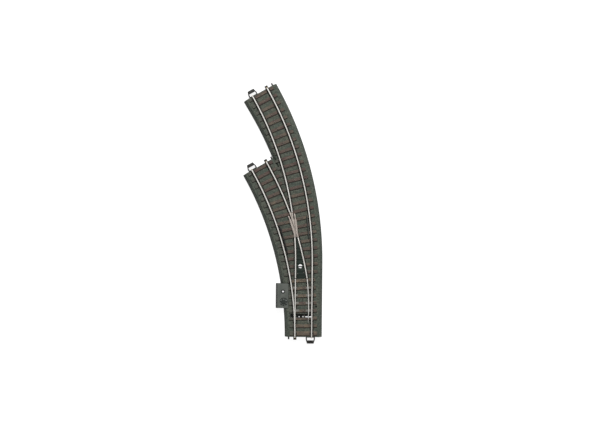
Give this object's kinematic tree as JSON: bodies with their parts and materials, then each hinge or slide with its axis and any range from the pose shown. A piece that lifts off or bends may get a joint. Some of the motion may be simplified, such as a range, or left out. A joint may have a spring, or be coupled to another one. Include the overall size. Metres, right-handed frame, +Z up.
{
  "type": "model turnout switch",
  "caption": "Left-hand curved model railway turnout on a hollow ballast bed, with pivoting blades, throw bar, rotary hand lever, cast frog and snap-together ends.",
  "frame": {"origin": "track centre at the toe end, on the plane that the bed stands on", "axes": "+Y away from the toe along the track, +X to the right, +Z up through the rail tops"},
  "size_m": [0.0846, 0.2743, 0.0103],
  "materials": {
    "ballast_bed": "granular moulded ballast, matte",
    "sleeper": "wood-grained matte",
    "rail": "drawn nickel-silver, satin",
    "frog_casting": "cast and tumbled, satin",
    "dark_plastic": "satin black moulding",
    "panel_plastic": "satin dark moulding",
    "stud_metal": "darkened strip",
    "plate_metal": "rolled strip",
    "knob_plastic": "ribbed finger knob",
    "housing_plastic": "fine-textured moulding",
    "spring_steel": "bright spring wire",
    "cover_plastic": "satin dark moulding",
    "screw_steel": "zinc plated",
    "contact_brass": "stamped strip",
    "clip_plastic": "satin dark moulding"
  },
  "bodies": {
    "track": {"roadbed": "ballast_bed", "sleepers": "sleeper", "stock_rail_inner": "rail", "stock_rail_outer": "rail", "closure_rail_straight": "rail", "closure_rail_curved": "rail", "frog": "frog_casting", "exit_rail_inner": "rail", "exit_rail_outer": "rail", "check_rail_inner": "dark_plastic", "check_rail_outer": "dark_plastic", "closure_panel": "panel_plastic", "stud_strip_outer": "stud_metal", "stud_strip_inner": "stud_metal", "slide_plates": "plate_metal", "heel_pins": "rail", "lever_housing": "housing_plastic", "detent_spring": "spring_steel", "mechanism_cover": "cover_plastic", "cover_screws": "screw_steel", "bond_strap": "stud_metal", "feed_terminals": "contact_brass", "clip_toe": "clip_plastic", "clip_inner": "clip_plastic", "clip_outer": "clip_plastic", "catch_toe": "clip_plastic", "catch_inner": "clip_plastic", "catch_outer": "clip_plastic", "contact_tongues": "contact_brass", "locating_pins": "clip_plastic"},
    "throw": {"throw_bar": "dark_plastic", "drive_link": "plate_metal"},
    "straight_blade": {"blade_straight": "rail"},
    "curved_blade": {"blade_curved": "rail"},
    "lever": {"hand_lever": "knob_plastic", "lever_crank": "dark_plastic"}
  },
  "joints": [
    {"name": "throw_slide", "type": "slide", "parent": "track", "child": "throw", "axis": [1, 0, 0], "range_m": [0, 0.0026], "deforming": ["detent_spring"]},
    {"name": "straight_blade_hinge", "type": "hinge", "parent": "track", "child": "straight_blade", "pos_m": [-0.00875, 0.061, 0.0087], "axis": [0, 0, 1], "range_deg": [0, 3.9]},
    {"name": "curved_blade_hinge", "type": "hinge", "parent": "track", "child": "curved_blade", "pos_m": [0.00367, 0.061, 0.0087], "axis": [0, 0, 1], "range_deg": [0, 3.9]},
    {"name": "lever_turn", "type": "hinge", "parent": "track", "child": "lever", "pos_m": [-0.0208, 0.0372, 0.006], "axis": [0, 0, 1], "range_deg": [0, 60.2]}
  ],
  "couplings": [
    {"joint": "straight_blade_hinge", "follows": "throw_slide", "rad_per_m": 26.095},
    {"joint": "curved_blade_hinge", "follows": "throw_slide", "rad_per_m": 26.095},
    {"joint": "lever_turn", "follows": "throw_slide", "rad_per_m": 402.77}
  ]
}
